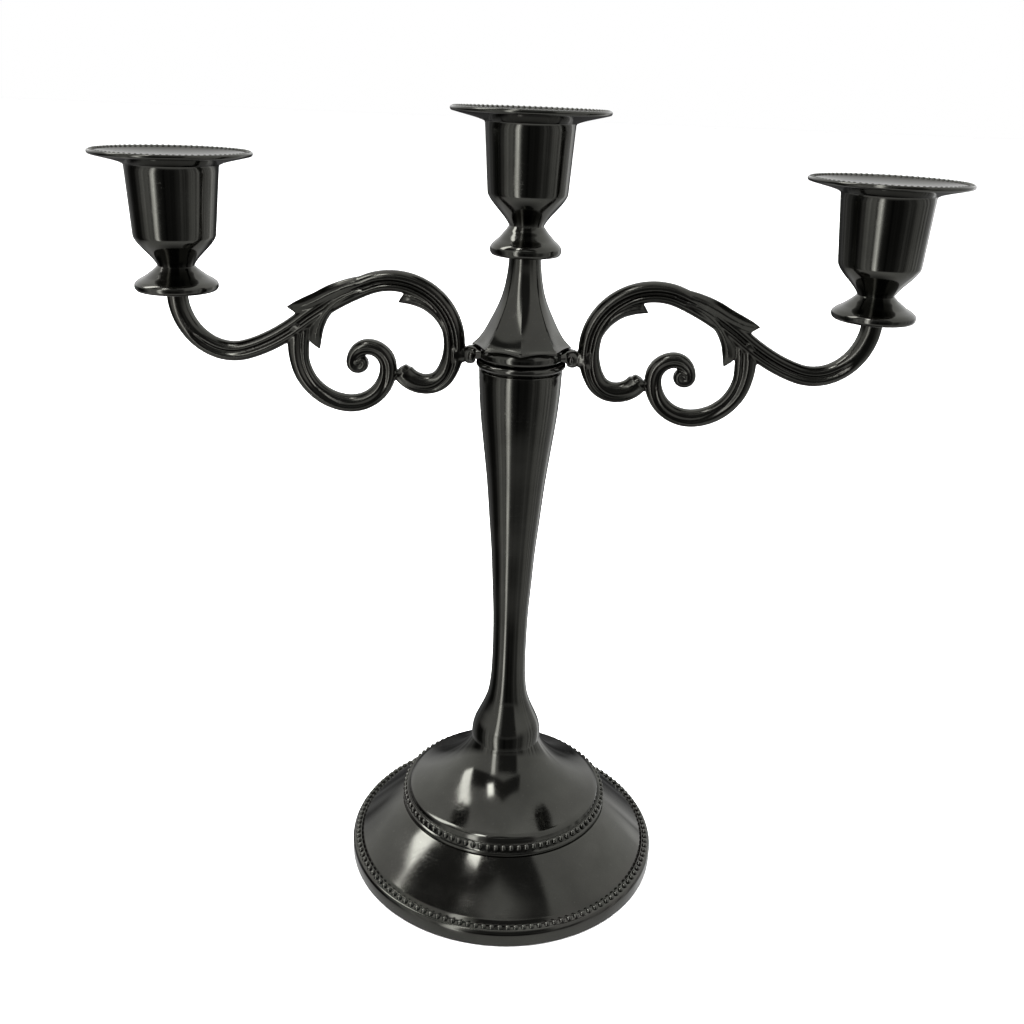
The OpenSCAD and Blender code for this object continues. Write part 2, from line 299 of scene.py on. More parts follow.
def zinc_steel():
    """Bright zinc on turned steel: fine lathe rings and cloudy patches."""
    n = Nodes(bpy.data.materials.new("zinc_steel"))
    coords = n.add("ShaderNodeTexCoord").outputs["Object"]
    cloud = n.ramp(n.noise(coords, 350.0, 4.0), 0.35, 0.65)
    n.link(n.mix(cloud, (0.46, 0.46, 0.44, 1), (0.66, 0.66, 0.65, 1)), "Base Color")
    n.link(n.ramp(n.noise(coords, 500.0), 0.3, 0.7, 0.28, 0.46), "Roughness")
    bump = n.add("ShaderNodeBump", {
        "Height": n.noise(coords, 1800.0), "Strength": 0.3, "Distance": 0.0001})
    n.link(bump.outputs["Normal"], "Normal")
    n.shader.inputs["Metallic"].default_value = 1.0
    return n.owner


def foam_rubber():
    """Matt black closed-cell foam with small pores."""
    n = Nodes(bpy.data.materials.new("foam_rubber"))
    coords = n.add("ShaderNodeTexCoord").outputs["Object"]
    pores = n.add("ShaderNodeTexVoronoi", {"Vector": coords, "Scale": 1400.0}).outputs["Distance"]
    pore, skin = (0.012, 0.012, 0.012, 1), (0.035, 0.034, 0.033, 1)
    n.link(n.mix(n.ramp(pores, 0.1, 0.6), pore, skin), "Base Color")
    n.link(n.ramp(n.noise(coords, 300.0), 0.3, 0.7, 0.78, 0.95), "Roughness")
    bump = n.add("ShaderNodeBump", {"Height": pores, "Strength": 0.5, "Distance": 0.0002})
    n.link(bump.outputs["Normal"], "Normal")
    return n.owner


PLATING = black_nickel(
    "plating", dark=(0.058, 0.058, 0.052, 1), light=(0.078, 0.078, 0.070, 1),
    rough_low=0.08, rough_high=0.15, cast_bump=0.3)
PLATING_CAST = black_nickel(
    "plating_cast", dark=(0.046, 0.046, 0.041, 1), light=(0.074, 0.074, 0.066, 1),
    rough_low=0.14, rough_high=0.25, cast_bump=0.8)
STEEL = zinc_steel()
RUBBER = foam_rubber()


# ---------------------------------------------------------------- base

FOOT_BEADS = 126
DOME_BEADS = 86
BOLT_HOLE_R = 4.4
CAST_WALL = 2.2
BASE_BEAD_R = 1.0
# The foot's deck, which carries the dome: inside radius of both castings, the dome's outside
# radius and the edge of the deck
DECK_INNER_R = 35
DOME_RIM_R = 37.2
DECK_EDGE_R = 37.6
DOME_TOP_WALL = 3
DOME_TOP_INNER_R = 9


def build_foot():
    """Lower tier of the base: a hollow casting with a skirt, a row of beads and a swept top."""
    low = node_box("base_foot")[0][2]
    deck = node_box("base_foot")[1][2]
    ceiling = deck - CAST_WALL
    groove = (52.1, 7.3)
    # Hollow underside, from the bolt's hole out to the skirt
    outline = [(BOLT_HOLE_R, ceiling), (DECK_INNER_R, ceiling)]
    outline += bezier((DECK_INNER_R, ceiling), (42, 13.8), (47, 8.4), (50.4, 6))
    # Skirt, bead ledge and the groove inside it
    outline += [(FOOT_PAD_R, 4.2), (FOOT_PAD_R, low), (FOOT_R - 0.1, low, 0.3)]
    outline += [(FOOT_R, 4.9, 0.5), (FOOT_R - 0.5, 5.8, 0.3), (FOOT_R - 1.2, 6.1), (FOOT_R - 2.6, 6.3)]
    outline += [(52.8, 6.2, 0.2), (*groove, 0.3)]
    # Swept top, up to the deck
    outline += bezier(groove, (48.6, 10.6), (43.6, 15.9), (DECK_EDGE_R, deck), steps=20)
    outline += [(BOLT_HOLE_R, deck)]
    bm = bmesh.new()
    lathe(bm, rounded(outline), steps=224)
    bead_row(bm, FOOT_R - 1.95, 6.15, BASE_BEAD_R, FOOT_BEADS, tall=1.1)
    return new_piece("beaded_foot", bm, "stand", PLATING, ["base_foot"])


def build_dome():
    """Upper tier of the base, which stands on the foot's deck and carries the stem."""
    low = node_box("base_dome")[0][2]
    high = node_box("base_dome")[1][2]
    inside = (DOME_TOP_INNER_R, high - DOME_TOP_WALL)
    # Rim, bead ledge and the groove inside it
    outline = [(DECK_INNER_R, low), (DOME_RIM_R, low, 0.2), (DOME_RIM_R, 21.8, 0.3)]
    outline += [(36.6, 22.3), (36.4, 24.4), (36.0, 25.0, 0.3), (35.4, 24.7, 0.2), (34.9, 26.1, 0.4)]
    # Swept top, up to the stem's seat
    outline += bezier((34.6, 26.5), (22.3, 32.2), (14.0, 39.2), (12.5, high), steps=24, first=True)
    # Hollow inside, back down to the rim
    outline += [(BOLT_HOLE_R, high), (BOLT_HOLE_R, inside[1]), inside]
    outline += bezier(inside, (11, 35), (21, 29), (DECK_INNER_R, 23.4))
    bm = bmesh.new()
    lathe(bm, rounded(outline), steps=192)
    bead_row(bm, 36.5, 23.8, BASE_BEAD_R, DOME_BEADS, tall=1.25)
    return new_piece("beaded_dome", bm, "stand", PLATING, ["base_dome"])


# ---------------------------------------------------------------- stem, hub and riser

M8_BORE_R = 4.0
STEM_FOOT_R = 12.55
BOLT_BORE_TOP_Z = 71
STUD_BORE_LOW_Z = 167.5
TOP_BEAD = (13.5, 187.0)
TOP_BEAD_STEPS = 8


def build_stem():
    """Long taper with a rounded bead at its top and a bore in each end."""
    outline = [(0, BOLT_BORE_TOP_Z), (M8_BORE_R, BOLT_BORE_TOP_Z), (M8_BORE_R, FOOT_Z)]
    outline += [(STEM_FOOT_R, FOOT_Z)]
    outline += smooth_line([
        (STEM_FOOT_R, FOOT_Z + 0.3), (12.5, 48), (12.2, 50.2), (11.45, 52.6), (10.15, 55.5), (8.6, 59),
        (7.25, 63), (6.5, 68), (6.15, 74), (6.05, 84), (6.3, 95), (7.0, 107), (7.75, 119),
        (8.75, 130), (10.1, 144.6), (11.6, 157), (12.95, 168), (13.7, 177), (14.0, 184)], steps=5)
    outline += [(14.15, 184.9, 0.3), (13.4, 185.4, 0.2)]
    for k in range(TOP_BEAD_STEPS + 1):
        a = math.radians(-70 + 140 * k / TOP_BEAD_STEPS)
        outline.append((TOP_BEAD[0] + 1.55 * math.cos(a), TOP_BEAD[1] + 1.35 * math.sin(a)))
    outline += [(13.2, HUB_LOW_Z), (M8_BORE_R, HUB_LOW_Z)]
    outline += [(M8_BORE_R, STUD_BORE_LOW_Z), (0, STUD_BORE_LOW_Z)]
    bm = bmesh.new()
    lathe(bm, rounded(outline, closed=False), steps=128, closed=False)
    return new_piece("turned_stem", bm, "stand", PLATING, ["stem"])


HUB_R = 14.5
LUG_MID_Z = 189.3


def loft(bm, sections):
    """Joins closed loops of equal length and closes both ends with a fan."""
    rings = [[bm.verts.new(p) for p in loop] for loop in sections]
    for lower, upper in zip(rings, rings[1:]):
        for i in range(len(lower)):
            j = (i + 1) % len(lower)
            bm.faces.new((lower[i], lower[j], upper[j], upper[i]))
    for ring in (rings[0], rings[-1]):
        middle = sum((v.co for v in ring), Vector()) / len(ring)
        pole = bm.verts.new(middle)
        for i in range(len(ring)):
            bm.faces.new((ring[i], ring[(i + 1) % len(ring)], pole))


def oval(x, half_y, half_z, z, side, corners=28, power=2.4):
    """One loop of a connector: a rounded oval across the X axis."""
    loop = []
    for i in range(corners):
        a = TURN * i / corners
        c, s = math.cos(a), math.sin(a)
        loop.append((side * x,
                     half_y * math.copysign(abs(c) ** (2 / power), c),
                     z + half_z * math.copysign(abs(s) ** (2 / power), s)))
    return loop


def build_hub():
    """Flat ring that carries both arms, with a lug on each side."""
    bm = bmesh.new()
    outline = [(M8_BORE_R, HUB_LOW_Z), (13.3, HUB_LOW_Z), (HUB_R - 0.4, HUB_LOW_Z + 0.5, 0.4)]
    outline += [(HUB_R, HUB_LOW_Z + 1.4, 0.5), (HUB_R - 0.1, HUB_HIGH_Z - 1.4, 0.5)]
    outline += [(HUB_R - 0.7, HUB_HIGH_Z - 0.4, 0.3), (13.2, HUB_HIGH_Z), (M8_BORE_R, HUB_HIGH_Z)]
    lathe(bm, rounded(outline), steps=144)
    # Lugs that flow out of the ring into the tulip-shaped connectors
    stations = smooth_line([
        (13.2, 5.8, 2.15, 190.4), (14.9, 5.0, 2.25, 190.35), (15.6, 4.2, 2.95, 189.7),
        (16.9, 3.3, 3.15, 189.4), (18.1, 2.9, 2.9, 189.3), (18.8, 2.5, 2.4, 189.3)], steps=5)
    for side in (-1, 1):
        loft(bm, [oval(x, hy, hz, z, side) for x, hy, hz, z in stations])
    return new_piece("hub_ring", bm, "arm_crown", PLATING, ["arm_hub"])


PIN_HEAD_R = 1.7
PIN_HEAD_SIZE = (1.2, 1.6, 1.6)
PIN_SHANK_R = 1.0
PIN_HEAD_Y = 3.15
PIN_LENGTH = 6.2


def build_pins():
    """The oval heads of the two cross pins, and the pins between them."""
    bm = bmesh.new()
    low, high = node_box("arm_pins")
    z = (low[2] + high[2]) / 2
    x = high[0] - PIN_HEAD_R
    for side in (-1, 1):
        for facing in (-1, 1):
            place = Matrix.Translation((side * x, facing * PIN_HEAD_Y, z))
            size = Matrix.Diagonal((*PIN_HEAD_SIZE, 1))
            bmesh.ops.create_uvsphere(bm, u_segments=24, v_segments=14, radius=1.0, matrix=place @ size)
        shank = Matrix.Translation((side * x, 0, z)) @ Matrix.Rotation(math.pi / 2, 4, "X")
        bmesh.ops.create_cone(bm, segments=24, radius1=PIN_SHANK_R, radius2=PIN_SHANK_R,
                              depth=PIN_LENGTH, cap_ends=True, matrix=shank)
    return new_piece("pin_heads", bm, "arm_crown", PLATING, ["arm_pins"])


RISER_SIDES = 8
# The hollows between the ridges fade out at this height, and the wavy rim at the second one
HOLLOW_TOP, WAVE_TOP = 21.0, 1.6
HOLLOW_DEPTH, WAVE_LIFT = 0.095, 0.55
SCREW_BORE_R = 2.0
SCREW_BORE_DEPTH = 5.5
STUD_BORE_DEPTH = 16.2
RISER_UNDER_R = 12.5
UNDERCUT = 0.05


def build_riser():
    """Trumpet, round at the top, with eight hollowed petals that meet in ridges at its rim."""
    steps = 24 * RISER_SIDES
    outer = smooth_line([
        (16.5, 0.0), (16.55, 0.5), (15.7, 1.25), (14.15, 2.9), (12.5, 5.4), (10.95, 8.4), (9.5, 11.4),
        (8.25, 14.2), (7.15, 17.3), (6.3, 20.8), (5.7, 24.6), (5.4, 27.6), (5.3, 29.8)], steps=5)
    top = CENTRE_SEAT_Z - HUB_HIGH_Z
    outer += [(5.45, 30.3), (5.5, top - 0.2), (5.3, top)]

    def petal(angle):
        return abs(math.sin(RISER_SIDES / 2 * angle))

    bm = bmesh.new()
    rings = []
    for radius, height in outer:
        hollow = HOLLOW_DEPTH * max(0.0, 1 - height / HOLLOW_TOP) ** 1.2
        lift = WAVE_LIFT * max(0.0, 1 - height / WAVE_TOP)
        rings.append(ring_of(
            bm, lambda a: radius * (1 - hollow * petal(a) ** 0.9),
            lambda a: HUB_HIGH_Z + height + lift * petal(a), (0, 0), steps))

    def plain_ring(radius, height):
        if not radius:
            return [bm.verts.new((0, 0, HUB_HIGH_Z + height))]
        return ring_of(bm, lambda a: radius, lambda a: HUB_HIGH_Z + height, (0, 0), steps)

    floor = top - SCREW_BORE_DEPTH
    rings += [plain_ring(SCREW_BORE_R, top), plain_ring(SCREW_BORE_R, floor), plain_ring(0, floor)]
    for lower, upper in zip(rings, rings[1:]):
        join_rings(bm, lower, upper)
    under = [plain_ring(RISER_UNDER_R, UNDERCUT), plain_ring(M8_BORE_R, UNDERCUT),
             plain_ring(M8_BORE_R, STUD_BORE_DEPTH), plain_ring(0, STUD_BORE_DEPTH)]
    join_rings(bm, under[0], rings[0])
    for lower, upper in zip(under[1:], under):
        join_rings(bm, lower, upper)
    return new_piece("petal_riser", bm, "riser_top", PLATING, ["riser"], sharp_angle=30)


# ---------------------------------------------------------------- candle cups

class CupSize:
    """Outline measures of one candle cup above its seat."""

    def __init__(self, mouth_r, low_r, bowl_z, waist_r, waist_z, bell_r, height):
        self.mouth_r = mouth_r
        self.low_r = low_r
        self.bowl_z = bowl_z
        self.waist_r = waist_r
        self.waist_z = waist_z
        self.bell_r = bell_r
        self.height = height


CENTRE_CUP = CupSize(14.5, 13.0, 18.9, 5.7, 8.5, 11.7, 45.6)
SIDE_CUP = CupSize(14.85, 13.15, 17.2, 5.9, 7.2, 13.5, 44.6)
SOCKET_R = 11.3
SOCKET_DEPTH = 20.0
PAN_RISE = 4.4
COLLAR_R = 12.95
COLLAR_H = 2.0
HEAD_RECESS = 2.8
HEAD_WELL_R = 4.2
SCREW_HOLE_R = 2.2
SEAT_LAND_R = 6.2
PAN_BEADS = 82
PAN_BEAD_R = 0.72
# How far a bell still stands out between its waist and its rim, by share of its height
BELL_FLARE = [
    (0.10, 1.0), (0.17, 0.99), (0.25, 0.93), (0.33, 0.84), (0.42, 0.70), (0.5, 0.57),
    (0.6, 0.44), (0.7, 0.32), (0.8, 0.20), (0.9, 0.10), (1.0, 0.0)]


def build_bell(prefix, size, x, seat, body):
    """Flared bell between a cup and its seat."""
    r = size.bell_r
    w, wz = size.waist_r, size.waist_z
    outline = [(SCREW_HOLE_R, 0), (SEAT_LAND_R, 0), (r - 2.4, 0.3 - BELL_HANG)]
    outline += [(r - 1.4, -BELL_HANG, 0.3), (r - 0.7, -BELL_HANG, 0.5), (r, -0.1, 0.5)]
    outline += smooth_line([(w + out * (r - w), share * wz) for share, out in BELL_FLARE], steps=4)
    outline += [(SCREW_HOLE_R, wz)]
    bm = bmesh.new()
    lathe(bm, rounded(outline), (x, 0), seat, steps=112)
    return new_piece(prefix + "_flared_bell", bm, body, PLATING, [prefix + "_bell"])


def build_cup(prefix, size, x, seat, body):
    """Candle cup with its socket, a recess for the pan's collar and a well for the screw's head."""
    top = size.height - PAN_RISE
    floor = top - COLLAR_H - SOCKET_DEPTH
    w, wz = size.waist_r, size.waist_z
    bowl = size.bowl_z
    collar_hole_r = COLLAR_R + 0.05
    outline = [(SCREW_HOLE_R, wz), (w, wz)]
    outline += bezier((w, wz), (w + 1.4, wz + 3.1), (size.low_r - 2.0, bowl - 4.2),
                      (size.low_r - 0.4, bowl - 1.2), steps=14)
    outline += [(size.low_r - 0.05, bowl - 0.45, 0.5)]
    outline += bezier((size.low_r + 0.05, bowl + 0.2), (size.low_r + 0.5, bowl + 6),
                      (size.mouth_r - 0.5, top - 7), (size.mouth_r, top - 0.7), steps=12, first=True)
    outline += [(size.mouth_r + 0.25, top - 0.2), (size.mouth_r + 0.8, top)]
    # The collar's seat, the candle socket and the well for the screw's head
    outline += [(collar_hole_r, top), (collar_hole_r, top - COLLAR_H), (SOCKET_R, top - COLLAR_H)]
    outline += [(SOCKET_R, floor), (HEAD_WELL_R, floor)]
    outline += [(HEAD_WELL_R, floor - HEAD_RECESS), (SCREW_HOLE_R, floor - HEAD_RECESS)]
    bm = bmesh.new()
    lathe(bm, rounded(outline), (x, 0), seat, steps=128)
    return new_piece(prefix + "_candle_cup", bm, body, PLATING, [prefix + "_cup"])


def build_pan(prefix, size, x, seat, body):
    """Wide drip pan with a collar underneath and a row of beads round its rim."""
    top = size.height
    base = top - PAN_RISE
    inner = COLLAR_R - 1.0
    # The collar that sits in the cup, and the underside out to the rim
    outline = [(inner, base - COLLAR_H), (COLLAR_R, base - COLLAR_H), (COLLAR_R, base)]
    outline += [(size.mouth_r - 0.5, base)]
    outline += bezier((size.mouth_r + 0.8, base + 0.02), (17.0, base + 0.8), (21.0, base + 1.6),
                      (PAN_R - 1.4, top - 1.95), steps=10, first=True)
    # The rolled rim, and the dish back in to the collar
    outline += [(PAN_R - 0.3, top - 1.65, 0.5), (PAN_R, top - 0.8, 0.5), (PAN_R - 0.5, top - 0.15, 0.4)]
    outline += [(PAN_R - 1.1, top - 0.4, 0.3), (PAN_R - 1.9, top - 0.75, 0.4)]
    outline += bezier((PAN_R - 2.4, top - 1.05), (20, base + 2.0), (16, base + 1.35),
                      (inner + 0.9, base + 1.2), steps=8, first=True)
    outline += [(inner, base + 0.7, 0.4)]
    bm = bmesh.new()
    lathe(bm, rounded(outline), (x, 0), seat, steps=160)
    bead_row(bm, PAN_R - 1.25, seat + top - PAN_BEAD_R, PAN_BEAD_R, PAN_BEADS, (x, 0))
    return new_piece(prefix + "_beaded_pan", bm, body, PLATING, [prefix + "_drip_pan"])


# ---------------------------------------------------------------- scroll arms

# The main scroll and the lower scroll as tangent arcs, [bend radius, turn in degrees]; a positive
# turn is to the left. They are drawn in the arm's plane, outwards and upwards.
MAIN_ARCS = [(18, -105), (51, -24), (95, 15), (21.5, 57), (20.5, 87), (7.5, 45), (9, 70)]
CURL_ARCS = [(33, -19), (17.5, -79), (13.1, -95), (6.8, -83), (5.5, -97), (2.1, -190), (1.0, -150)]
# The main scroll starts this far below the bell, inside the small seat
START_DROP = 1.9
MAIN_START = (ARM_REACH, SIDE_SEAT_Z - START_DROP)
CURL_START = (74.0, 197.0)
CURL_HEADING = -77
# The main scroll sags by this much over the first part of its length, next to the cup
MAIN_SAG, SAG_REACH = 1.1, 54
# Floor and eye of the small spiral that ends the lower scroll
SPIRAL_CENTRE = (54.9, 185.2)
SPIRAL_FLOOR_R, SPIRAL_EYE_R = 3.3, 1.3
# The two small beads at the arm's root: outwards, upwards and radius
ROOT_BEADS = [(19.6, 190.8, 1.6), (19.6, 187.9, 1.5)]
ROOT_BEAD_STRETCH = 1.5
SPACING = 0.5
SECTION_POINTS = 40


def arc_route(start, heading, arcs):
    """Points along tangent arcs as (out, up, heading, length so far)."""
    out, up = start
    angle = math.radians(heading)
    length = 0.0
    route = [(out, up, angle, length)]
    for bend, turn in arcs:
        side = math.copysign(1, turn)
        total = math.radians(turn)
        centre = (out - side * bend * math.sin(angle), up + side * bend * math.cos(angle))
        count = max(2, round(abs(total) * bend / SPACING))
        for i in range(1, count + 1):
            here = angle + total * i / count
            route.append((centre[0] + side * bend * math.sin(here),
                          centre[1] - side * bend * math.cos(here),
                          here, length + bend * abs(total) * i / count))
        out, up, angle, length = route[-1]
    return route


def sagged(route, drop, reach):
    """Lowers the first part of a route by up to a given drop, most at the middle of its reach."""
    return [(out, up - (drop * math.sin(math.pi * length / reach) ** 2 if length < reach else 0),
             angle, length) for out, up, angle, length in route]


def lookup(table, at):
    """Smoothly interpolates a table of (length, value, value, ...)."""
    if at <= table[0][0]:
        return table[0][1:]
    for low, high in zip(table, table[1:]):
        if at <= high[0]:
            t = (at - low[0]) / (high[0] - low[0])
            t = t * t * (3 - 2 * t)
            return tuple(a + (b - a) * t for a, b in zip(low[1:], high[1:]))
    return table[-1][1:]


def fluted_bar(bm, route, table, side):
    """Sweeps a flattened round section with a groove down its front and its back.

    The table gives, by length: half width, half depth, groove place, groove depth, groove width.
    """
    sections = []
    for out, up, angle, length in route:
        half_w, half_d, place, depth, spread = lookup(table, length)
        across = (-math.sin(angle), math.cos(angle))
        loop = []
        for i in range(SECTION_POINTS):
            a = TURN * i / SECTION_POINTS
            n = half_w * math.cos(a)
            y = half_d * math.copysign(abs(math.sin(a)) ** 0.9, math.sin(a))
            y *= 1 - depth * math.exp(-((n - place) / spread) ** 2)
            loop.append((side * (out + across[0] * n), y, up + across[1] * n))
        sections.append(loop)
    loft(bm, sections)


def leaf_blade(bm, stations, side, edge_depth=1.1):
    """A leaf with a ridge. Each station is (edge, ridge, edge) points and the ridge's half depth."""
    flat = [(a[0], a[1], c[0], c[1], b[0], b[1], h) for a, c, b, h in stations]
    sections = []
    for au, az, cu, cz, bu, bz, height in smooth_line(flat, steps=6):
        low = min(edge_depth, 0.7 * height)
        mid_a = ((au + cu) / 2, (az + cz) / 2, low + 0.62 * (height - low))
        mid_b = ((bu + cu) / 2, (bz + cz) / 2, low + 0.62 * (height - low))
        front = [(au, az, low), mid_a, (cu, cz, height), mid_b, (bu, bz, low)]
        loop = [(side * u, -y, z) for u, z, y in front]
        loop += [(side * u, y, z) for u, z, y in reversed(front)]
        sections.append(loop)
    loft(bm, sections)


# Leaves, each from its root to its tip
OUTER_BARB = [
    ((50, 215.0), (50, 213.0), (50, 211.0), 2.6),
    ((58, 213.2), (57.2, 211.0), (56.2, 208.8), 3.0),
    ((64.4, 210.8), (63.3, 208.4), (61.9, 205.8), 3.3),
    ((69.5, 208.0), (68.4, 205.6), (66.9, 202.8), 3.3),
    ((73.6, 205.9), (72.6, 203.8), (71.2, 201.0), 3.0),
    ((76.0, 204.6), (75.4, 203.2), (74.6, 200.6), 2.2),
    ((77.4, 203.7), (77.1, 202.9), (76.4, 201.4), 1.4),
    ((78.7, 202.8), (78.6, 202.7), (78.4, 202.6), 0.7)]
INNER_BARB = [
    ((48.5, 208.9), (48.5, 210.1), (48.5, 211.3), 2.3),
    ((54.5, 207.6), (55.2, 208.8), (56.0, 210.2), 2.7),
    ((59.9, 204.7), (61.0, 205.8), (62.3, 207.3), 3.0),
    ((63.9, 200.7), (65.3, 201.5), (67.0, 202.6), 3.1),
    ((66.1, 196.4), (67.6, 196.9), (70.4, 197.5), 2.9),
    ((67.0, 192.6), (68.5, 193.0), (71.3, 193.4), 2.3),
    ((67.3, 190.6), (68.5, 190.9), (70.5, 191.1), 1.6),
    ((67.5, 188.8), (67.7, 188.8), (67.9, 189.0), 0.7)]
HUB_LEAF = [
    ((25.6, 192.0), (25.4, 192.2), (25.2, 192.4), 1.6),
    ((26.5, 196.6), (25.8, 197.0), (25.0, 197.4), 2.5),
    ((29.2, 200.9), (28.1, 201.9), (26.8, 203.0), 2.9),
    ((33.0, 203.9), (31.9, 205.3), (30.6, 206.9), 3.0),
    ((37.0, 205.3), (36.3, 207.0), (35.6, 209.0), 2.8),
    ((39.4, 205.7), (39.0, 207.2), (38.7, 209.2), 2.3),
    ((40.5, 205.8), (40.3, 206.8), (40.1, 208.3), 1.5),
    ((41.7, 205.7), (41.6, 205.8), (41.5, 206.0), 0.7)]
NUB_CORNER = [
    ((33.6, 182.0), (34.6, 180.6), (35.6, 179.2), 2.4),
    ((36.0, 183.0), (37.2, 181.6), (38.4, 180.2), 3.1),
    ((38.4, 184.8), (39.6, 183.0), (41.0, 181.0), 3.1),
    ((39.3, 184.5), (41.0, 183.3), (42.7, 181.6), 2.6)]

# (length, half width, half depth, groove place, groove depth, groove width)
MAIN_TABLE = [
    (0, 3.45, 3.3, 0.0, 0.0, 1.0), (12, 3.45, 3.2, 0.0, 0.05, 0.8), (20, 3.45, 3.1, 0.0, 0.40, 0.8),
    (52, 3.4, 3.1, 0.1, 0.48, 0.8), (68, 3.45, 2.9, 0.2, 0.50, 0.8), (84, 3.6, 3.2, 0.3, 0.55, 0.85),
    (100, 3.65, 3.4, 0.4, 0.55, 0.9), (118, 3.65, 3.4, 0.3, 0.50, 0.9), (133, 3.5, 3.2, -1.0, 0.40, 0.7),
    (140, 3.5, 3.1, -1.5, 0.35, 0.6), (147, 3.6, 3.1, -1.9, 0.2, 0.5), (152, 3.5, 3.2, -2.0, 0.0, 0.5)]
CURL_TABLE = [
    (0, 3.6, 2.5, -0.9, 0.50, 0.7), (7, 3.65, 2.7, -0.9, 0.45, 0.8), (14, 3.3, 2.8, -0.9, 0.35, 0.8),
    (24, 3.1, 2.8, -0.7, 0.25, 0.8), (36, 3.1, 2.9, 0.2, 0.18, 0.9), (46, 3.0, 3.0, 0.5, 0.18, 0.9),
    (59, 2.9, 3.0, -0.6, 0.25, 0.8), (67.5, 2.75, 3.0, -0.8, 0.25, 0.7), (75.5, 2.1, 2.8, -0.3, 0.1, 0.6),
    (80.5, 1.6, 2.7, 0.0, 0.0, 0.6), (83.5, 1.25, 2.7, 0.0, 0.0, 0.6), (86.5, 0.8, 2.8, 0.0, 0.0, 0.6)]
# Small seat under the bell: radius, height below the bell and the corner's cut
ARM_SEAT = [(0, -2.0), (3.2, -2.0), (3.9, -1.1, 0.5), (4.2, -0.5, 0.3), (4.2, 0), (0, 0)]
CAST_VOXEL = 0.00026


def ball(bm, centre, radius, squash, side):
    """A ball in the arm's plane, squashed or stretched front to back."""
    place = Matrix.Translation((side * centre[0], 0, centre[1]))
    size = Matrix.Diagonal((1, squash, 1, 1))
    bmesh.ops.create_uvsphere(bm, u_segments=32, v_segments=20, radius=radius, matrix=place @ size)


def build_arm(name, side, node):
    """One casting: bars, leaves and balls joined into a single skin by a fine remesh."""
    bm = bmesh.new()
    main_route = sagged(arc_route(MAIN_START, -90, MAIN_ARCS), MAIN_SAG, SAG_REACH)
    fluted_bar(bm, main_route, MAIN_TABLE, side)
    fluted_bar(bm, arc_route(CURL_START, CURL_HEADING, CURL_ARCS), CURL_TABLE, side)
    for stations in (OUTER_BARB, INNER_BARB, HUB_LEAF, NUB_CORNER):
        leaf_blade(bm, stations, side)
    ball(bm, SPIRAL_CENTRE, SPIRAL_FLOOR_R, 0.66, side)
    ball(bm, SPIRAL_CENTRE, SPIRAL_EYE_R, 2.3, side)
    # Root of the arm: a neck, and two small beads one above the other
    loft(bm, [oval(x, hy, hz, LUG_MID_Z, side) for x, hy, hz in (
        (18.5, 2.4, 2.3), (19.4, 2.5, 2.3), (20.4, 2.8, 2.7), (21.6, 3.0, 3.2), (22.8, 3.0, 3.4))])
    for out, up, radius in ROOT_BEADS:
        ball(bm, (out, up), radius, ROOT_BEAD_STRETCH, side)
    lathe(bm, rounded(ARM_SEAT, closed=False), (side * ARM_REACH, 0), SIDE_SEAT_Z, steps=48, closed=False)
    rough = new_piece(name + "_rough", bm, "arm_crown", PLATING_CAST)
    remesh = rough.modifiers.new("cast", "REMESH")
    remesh.mode = "VOXEL"
    remesh.voxel_size = CAST_VOXEL
    soften = rough.modifiers.new("soften", "SMOOTH")
    soften.factor = 0.5
    soften.iterations = 6
    bpy.context.view_layer.update()
    cast = bpy.data.meshes.new_from_object(rough.evaluated_get(bpy.context.evaluated_depsgraph_get()))
    bpy.data.objects.remove(rough)
    cast.name = name
    for face in cast.polygons:
        face.use_smooth = True
    piece = bpy.data.objects.new(name, cast)
    bpy.context.scene.collection.objects.link(piece)
    cast.materials.clear()
    cast.materials.append(PLATING_CAST)
    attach(piece, "arm_crown")
    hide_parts(node)
    return piece


# ---------------------------------------------------------------- build everything

STEEL_NODES = ["base_bolt", "base_washer", "base_lock_washer", "crown_stud",
               "left_cup_screw", "centre_cup_screw", "right_cup_screw"]

build_foot()
build_dome()
build_stem()
build_hub()
build_pins()
build_riser()
for prefix, size, x, seat in (
        ("left", SIDE_CUP, -ARM_REACH, SIDE_SEAT_Z),
        ("centre", CENTRE_CUP, 0, CENTRE_SEAT_Z),
        ("right", SIDE_CUP, ARM_REACH, SIDE_SEAT_Z)):
    body = prefix + "_candle_holder"
    build_bell(prefix, size, x, seat, body)
    build_cup(prefix, size, x, seat, body)
    build_pan(prefix, size, x, seat, body)
build_arm("left_scroll_arm", -1, "left_arm")
build_arm("right_scroll_arm", 1, "right_arm")


def paint_fixings():
    """Gives the CAD nodes that stay, the fixings and the rubber pad, their materials."""
    paints = {name: STEEL for name in STEEL_NODES}
    paints["base_pad"] = RUBBER
    for name, material in paints.items():
        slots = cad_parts[name].data.materials
        slots.clear()
        slots.append(material)


paint_fixings()


# ---------------------------------------------------------------- floor, light and camera

FLOOR_REACH = 9.0
FLOOR_GREY = 0.93


